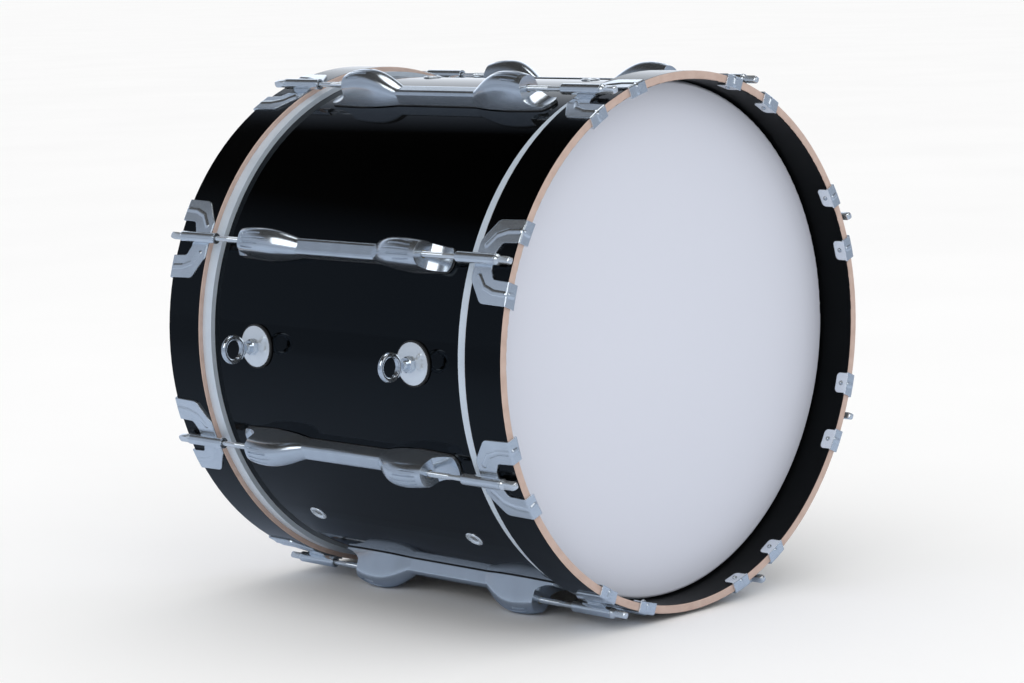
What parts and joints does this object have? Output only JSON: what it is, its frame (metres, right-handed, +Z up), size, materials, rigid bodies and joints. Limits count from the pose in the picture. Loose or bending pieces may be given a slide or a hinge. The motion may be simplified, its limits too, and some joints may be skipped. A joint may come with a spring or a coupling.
{
  "type": "bass drum",
  "caption": "Marching bass drum: gloss black shell, two wooden hoops held by claws and tension rods on double-ended lugs, white heads, and two carrier eye bolts.",
  "frame": {"origin": "middle of the shell on the drum's axis", "axes": "+Z up, the drum's axis along Y with the front head facing -Y, and the carrier eye bolts on the -X side"},
  "size_m": [0.5111, 0.4308, 0.4824],
  "materials": {
    "gloss_black_lacquer": "high gloss lacquer over maple plywood",
    "lacquered_maple": "black lacquer on the inside and outside faces, clear maple on both edges",
    "white_film": "smooth white polyester film",
    "aluminium_hoop": "satin",
    "claw_chrome": "polished",
    "rod_chrome": "polished, rolled thread",
    "lug_chrome": "polished casting",
    "eye_chrome": "polished",
    "black_rubber": "matt",
    "nut_brass": "machined",
    "nylon": "moulded nylon",
    "screw_steel": "zinc plated"
  },
  "bodies": {
    "drum_body": {"shell": "gloss_black_lacquer", "lug_1": "lug_chrome", "lug_2": "lug_chrome", "lug_3": "lug_chrome", "lug_4": "lug_chrome", "lug_5": "lug_chrome", "lug_6": "lug_chrome", "lug_7": "lug_chrome", "lug_8": "lug_chrome", "lug_gaskets": "black_rubber", "swivel_nuts": "nut_brass", "nut_retainers": "nylon", "lug_screws": "screw_steel", "lug_screw_washers": "screw_steel", "front_eye_bolt": "eye_chrome", "rear_eye_bolt": "eye_chrome", "eye_plates": "eye_chrome", "eye_gaskets": "black_rubber", "eye_jam_nuts": "eye_chrome", "eye_backing_washers": "screw_steel", "eye_backing_nuts": "screw_steel", "vent_eyelets": "eye_chrome"},
    "front_hoop_set": {"front_hoop": "lacquered_maple", "front_head_film": "white_film", "front_flesh_hoop": "aluminium_hoop", "front_claws": "claw_chrome", "front_claw_screws": "screw_steel"},
    "front_rod_1": {"front_rod_1": "rod_chrome"},
    "front_rod_2": {"front_rod_2": "rod_chrome"},
    "front_rod_3": {"front_rod_3": "rod_chrome"},
    "front_rod_4": {"front_rod_4": "rod_chrome"},
    "front_rod_5": {"front_rod_5": "rod_chrome"},
    "front_rod_6": {"front_rod_6": "rod_chrome"},
    "front_rod_7": {"front_rod_7": "rod_chrome"},
    "front_rod_8": {"front_rod_8": "rod_chrome"},
    "rear_hoop_set": {"rear_hoop": "lacquered_maple", "rear_head_film": "white_film", "rear_flesh_hoop": "aluminium_hoop", "rear_claws": "claw_chrome", "rear_claw_screws": "screw_steel"},
    "rear_rod_1": {"rear_rod_1": "rod_chrome"},
    "rear_rod_2": {"rear_rod_2": "rod_chrome"},
    "rear_rod_3": {"rear_rod_3": "rod_chrome"},
    "rear_rod_4": {"rear_rod_4": "rod_chrome"},
    "rear_rod_5": {"rear_rod_5": "rod_chrome"},
    "rear_rod_6": {"rear_rod_6": "rod_chrome"},
    "rear_rod_7": {"rear_rod_7": "rod_chrome"},
    "rear_rod_8": {"rear_rod_8": "rod_chrome"}
  },
  "joints": [
    {"name": "front_hoop_slackening", "type": "slide", "parent": "drum_body", "child": "front_hoop_set", "axis": [0, -1, 0], "range_m": [0, 0.006]},
    {"name": "front_rod_1_turn", "type": "hinge", "parent": "front_hoop_set", "child": "front_rod_1", "pos_m": [0.09364, -0.18, 0.22607], "axis": [0, -1, 0], "range_deg": [0, 2040.95]},
    {"name": "front_rod_2_turn", "type": "hinge", "parent": "front_hoop_set", "child": "front_rod_2", "pos_m": [0.22607, -0.18, 0.09364], "axis": [0, -1, 0], "range_deg": [0, 2040.95]},
    {"name": "front_rod_3_turn", "type": "hinge", "parent": "front_hoop_set", "child": "front_rod_3", "pos_m": [0.22607, -0.18, -0.09364], "axis": [0, -1, 0], "range_deg": [0, 2040.95]},
    {"name": "front_rod_4_turn", "type": "hinge", "parent": "front_hoop_set", "child": "front_rod_4", "pos_m": [0.09364, -0.18, -0.22607], "axis": [0, -1, 0], "range_deg": [0, 2040.95]},
    {"name": "front_rod_5_turn", "type": "hinge", "parent": "front_hoop_set", "child": "front_rod_5", "pos_m": [-0.09364, -0.18, -0.22607], "axis": [0, -1, 0], "range_deg": [0, 2040.95]},
    {"name": "front_rod_6_turn", "type": "hinge", "parent": "front_hoop_set", "child": "front_rod_6", "pos_m": [-0.22607, -0.18, -0.09364], "axis": [0, -1, 0], "range_deg": [0, 2040.95]},
    {"name": "front_rod_7_turn", "type": "hinge", "parent": "front_hoop_set", "child": "front_rod_7", "pos_m": [-0.22607, -0.18, 0.09364], "axis": [0, -1, 0], "range_deg": [0, 2040.95]},
    {"name": "front_rod_8_turn", "type": "hinge", "parent": "front_hoop_set", "child": "front_rod_8", "pos_m": [-0.09364, -0.18, 0.22607], "axis": [0, -1, 0], "range_deg": [0, 2040.95]},
    {"name": "rear_hoop_slackening", "type": "slide", "parent": "drum_body", "child": "rear_hoop_set", "axis": [0, 1, 0], "range_m": [0, 0.006]},
    {"name": "rear_rod_1_turn", "type": "hinge", "parent": "rear_hoop_set", "child": "rear_rod_1", "pos_m": [0.09364, 0.18, 0.22607], "axis": [0, 1, 0], "range_deg": [0, 2040.95]},
    {"name": "rear_rod_2_turn", "type": "hinge", "parent": "rear_hoop_set", "child": "rear_rod_2", "pos_m": [0.22607, 0.18, 0.09364], "axis": [0, 1, 0], "range_deg": [0, 2040.95]},
    {"name": "rear_rod_3_turn", "type": "hinge", "parent": "rear_hoop_set", "child": "rear_rod_3", "pos_m": [0.22607, 0.18, -0.09364], "axis": [0, 1, 0], "range_deg": [0, 2040.95]},
    {"name": "rear_rod_4_turn", "type": "hinge", "parent": "rear_hoop_set", "child": "rear_rod_4", "pos_m": [0.09364, 0.18, -0.22607], "axis": [0, 1, 0], "range_deg": [0, 2040.95]},
    {"name": "rear_rod_5_turn", "type": "hinge", "parent": "rear_hoop_set", "child": "rear_rod_5", "pos_m": [-0.09364, 0.18, -0.22607], "axis": [0, 1, 0], "range_deg": [0, 2040.95]},
    {"name": "rear_rod_6_turn", "type": "hinge", "parent": "rear_hoop_set", "child": "rear_rod_6", "pos_m": [-0.22607, 0.18, -0.09364], "axis": [0, 1, 0], "range_deg": [0, 2040.95]},
    {"name": "rear_rod_7_turn", "type": "hinge", "parent": "rear_hoop_set", "child": "rear_rod_7", "pos_m": [-0.22607, 0.18, 0.09364], "axis": [0, 1, 0], "range_deg": [0, 2040.95]},
    {"name": "rear_rod_8_turn", "type": "hinge", "parent": "rear_hoop_set", "child": "rear_rod_8", "pos_m": [-0.09364, 0.18, 0.22607], "axis": [0, 1, 0], "range_deg": [0, 2040.95]}
  ],
  "couplings": [
    {"joint": "front_rod_1_turn", "follows": "front_hoop_slackening", "rad_per_m": 5936.9},
    {"joint": "front_rod_2_turn", "follows": "front_hoop_slackening", "rad_per_m": 5936.9},
    {"joint": "front_rod_3_turn", "follows": "front_hoop_slackening", "rad_per_m": 5936.9},
    {"joint": "front_rod_4_turn", "follows": "front_hoop_slackening", "rad_per_m": 5936.9},
    {"joint": "front_rod_5_turn", "follows": "front_hoop_slackening", "rad_per_m": 5936.9},
    {"joint": "front_rod_6_turn", "follows": "front_hoop_slackening", "rad_per_m": 5936.9},
    {"joint": "front_rod_7_turn", "follows": "front_hoop_slackening", "rad_per_m": 5936.9},
    {"joint": "front_rod_8_turn", "follows": "front_hoop_slackening", "rad_per_m": 5936.9},
    {"joint": "rear_rod_1_turn", "follows": "rear_hoop_slackening", "rad_per_m": 5936.9},
    {"joint": "rear_rod_2_turn", "follows": "rear_hoop_slackening", "rad_per_m": 5936.9},
    {"joint": "rear_rod_3_turn", "follows": "rear_hoop_slackening", "rad_per_m": 5936.9},
    {"joint": "rear_rod_4_turn", "follows": "rear_hoop_slackening", "rad_per_m": 5936.9},
    {"joint": "rear_rod_5_turn", "follows": "rear_hoop_slackening", "rad_per_m": 5936.9},
    {"joint": "rear_rod_6_turn", "follows": "rear_hoop_slackening", "rad_per_m": 5936.9},
    {"joint": "rear_rod_7_turn", "follows": "rear_hoop_slackening", "rad_per_m": 5936.9},
    {"joint": "rear_rod_8_turn", "follows": "rear_hoop_slackening", "rad_per_m": 5936.9}
  ]
}
